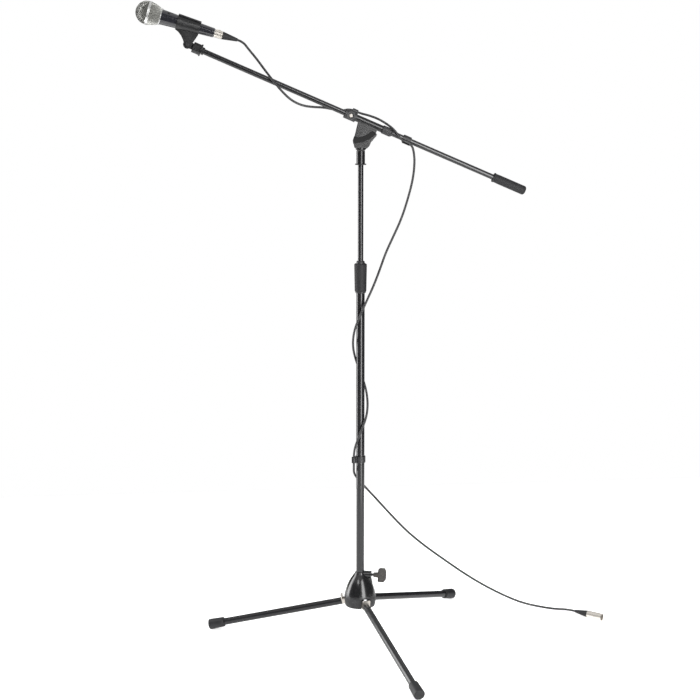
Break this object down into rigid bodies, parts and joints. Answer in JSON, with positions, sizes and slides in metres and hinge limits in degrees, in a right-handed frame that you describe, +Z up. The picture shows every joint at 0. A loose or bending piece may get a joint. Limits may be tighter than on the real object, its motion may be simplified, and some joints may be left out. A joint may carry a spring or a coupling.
{
  "type": "boom microphone stand",
  "caption": "Black tripod microphone stand with a tilting boom, cable clips, and a clipped handheld microphone with its lead.",
  "frame": {"origin": "on the mast's axis at floor level", "axes": "+Z up the mast, +X horizontally along the boom towards its rear grip, +Y square to the boom, away from the side the cable hangs on"},
  "size_m": [1.0943, 0.6225, 1.4625],
  "materials": {
    "tube_black": "satin powder coat",
    "casting_black": "gloss paint on die-cast zinc",
    "zinc_plated": "zinc plated",
    "rubber_black": "matt moulded rubber",
    "plastic_black": "moulded nylon",
    "knob_plastic": "textured glass-filled nylon",
    "grille_steel": "woven wire, satin nickel",
    "bright_steel": "bright satin",
    "handle_gloss": "gloss enamel",
    "capsule_black": "foam and moulded plastic",
    "nickel": "satin nickel plate",
    "brass": "plain",
    "weight_steel": "plain bar",
    "cable_black": "soft PVC jacket"
  },
  "bodies": {
    "base": {"base_housing": "casting_black", "leg_pivot_pins": "zinc_plated", "base_clamp_shoe": "brass", "cord_fall": "cable_black", "far_plug_boot": "rubber_black", "far_plug_shell": "nickel", "far_plug_pins": "nickel"},
    "base_knob": {"base_knob": "knob_plastic", "base_knob_screw": "zinc_plated"},
    "leg_a": {"leg_tube_a": "tube_black", "leg_bracket_a": "zinc_plated", "leg_foot_a": "rubber_black"},
    "leg_b": {"leg_tube_b": "tube_black", "leg_bracket_b": "zinc_plated", "leg_foot_b": "rubber_black"},
    "leg_c": {"leg_tube_c": "tube_black", "leg_bracket_c": "zinc_plated", "leg_foot_c": "rubber_black"},
    "mast": {"mast_tube": "tube_black", "mast_bottom_plug": "plastic_black", "clutch_collar": "plastic_black", "mast_cable_clip": "plastic_black", "cord_wrap": "cable_black"},
    "clutch_grip": {"clutch_grip": "rubber_black"},
    "riser_guide": {"riser_guide_bush": "plastic_black"},
    "riser": {"riser_tube": "tube_black", "head_ring": "rubber_black", "head_post": "casting_black"},
    "tilt_knob": {"tilt_knob": "knob_plastic", "tilt_bolt": "zinc_plated"},
    "boom_holder": {"boom_clamp": "casting_black", "tilt_washers": "plastic_black", "sleeve_cable_clip": "plastic_black", "sleeve_clip_screw": "zinc_plated", "cord_sleeve": "cable_black", "cord_hang": "cable_black"},
    "boom_ring": {"boom_clutch_ring": "plastic_black"},
    "boom": {"boom_tube": "tube_black", "rear_grip": "rubber_black", "boom_counterweight": "weight_steel", "boom_thread_stub": "zinc_plated", "boom_cable_clip": "plastic_black", "cord_front": "cable_black"},
    "clip_socket": {"clip_socket": "plastic_black", "clip_thread_insert": "brass", "clip_pivot_bolt": "zinc_plated"},
    "clip_cradle": {"clip_cradle": "plastic_black"},
    "microphone": {"mic_grille_front": "grille_steel", "mic_grille_band": "bright_steel", "mic_grille_rear": "grille_steel", "mic_collar": "bright_steel", "mic_handle": "handle_gloss", "mic_capsule": "capsule_black", "mic_xlr_insert": "plastic_black", "plug_shell": "nickel", "plug_boot": "rubber_black"},
    "mic_switch": {"mic_switch": "plastic_black"},
    "plug_latch": {"plug_latch": "nickel"}
  },
  "joints": [
    {"name": "leg_a_fold", "type": "hinge", "parent": "base", "child": "leg_a", "pos_m": [0.00639, -0.02623, 0.096], "axis": [0.9715, 0.2368, 0], "range_deg": [0, 75]},
    {"name": "leg_b_fold", "type": "hinge", "parent": "base", "child": "leg_b", "pos_m": [0.01952, 0.01865, 0.096], "axis": [-0.6909, 0.723, 0], "range_deg": [0, 75]},
    {"name": "leg_c_fold", "type": "hinge", "parent": "base", "child": "leg_c", "pos_m": [-0.02592, 0.00758, 0.096], "axis": [-0.2807, -0.9598, 0], "range_deg": [0, 75]},
    {"name": "base_knob_turn", "type": "hinge", "parent": "base", "child": "base_knob", "pos_m": [0.03839, -0.01123, 0.16], "axis": [0.9598, -0.2807, 0], "range_deg": [0, 360]},
    {"name": "mast_slide", "type": "slide", "parent": "base", "child": "mast", "axis": [0, 0, -1], "range_m": [0, 0.235], "deforming": ["cord_fall"]},
    {"name": "clutch_grip_turn", "type": "hinge", "parent": "mast", "child": "clutch_grip", "pos_m": [0, 0, 0.855], "axis": [0, 0, 1], "range_deg": [0, 120]},
    {"name": "riser_slide", "type": "slide", "parent": "mast", "child": "riser_guide", "axis": [0, 0, 1], "range_m": [-0.21, 0.4]},
    {"name": "riser_swivel", "type": "hinge", "parent": "riser_guide", "child": "riser", "pos_m": [0, 0, 1], "axis": [0, 0, 1], "range_deg": [-90, 90]},
    {"name": "boom_tilt", "type": "hinge", "parent": "riser", "child": "boom_holder", "pos_m": [0.004, 0, 1.163], "axis": [0, 1, 0], "range_deg": [-110, 65], "deforming": ["cord_hang"]},
    {"name": "tilt_knob_turn", "type": "hinge", "parent": "riser", "child": "tilt_knob", "pos_m": [0.004, 0, 1.163], "axis": [0, 1, 0], "range_deg": [0, 180]},
    {"name": "boom_ring_turn", "type": "hinge", "parent": "boom_holder", "child": "boom_ring", "pos_m": [0.0588, 0, 1.18442], "axis": [0.9198, 0, -0.3923], "range_deg": [0, 120]},
    {"name": "boom_slide", "type": "slide", "parent": "boom_holder", "child": "boom", "axis": [0.9198, 0, -0.3923], "range_m": [-0.022, 0.1], "deforming": ["cord_front", "cord_sleeve"]},
    {"name": "clip_turn", "type": "hinge", "parent": "boom", "child": "clip_socket", "pos_m": [-0.35696, 0, 1.36176], "axis": [0.9198, 0, -0.3923], "range_deg": [-90, 90]},
    {"name": "clip_tilt", "type": "hinge", "parent": "clip_socket", "child": "clip_cradle", "pos_m": [-0.37803, 0, 1.37074], "axis": [0, 1, 0], "range_deg": [-60, 9]},
    {"name": "mic_pull_out", "type": "slide", "parent": "clip_cradle", "child": "microphone", "axis": [-0.9593, 0, 0.2823], "range_m": [0, 0.08]},
    {"name": "mic_switch_slide", "type": "slide", "parent": "microphone", "child": "mic_switch", "axis": [0.9593, 0, -0.2823], "range_m": [0, 0.004]},
    {"name": "plug_latch_press", "type": "slide", "parent": "microphone", "child": "plug_latch", "axis": [-0.2823, 0, -0.9593], "range_m": [0, 0.0008], "stiffness_N_per_m": 800}
  ]
}
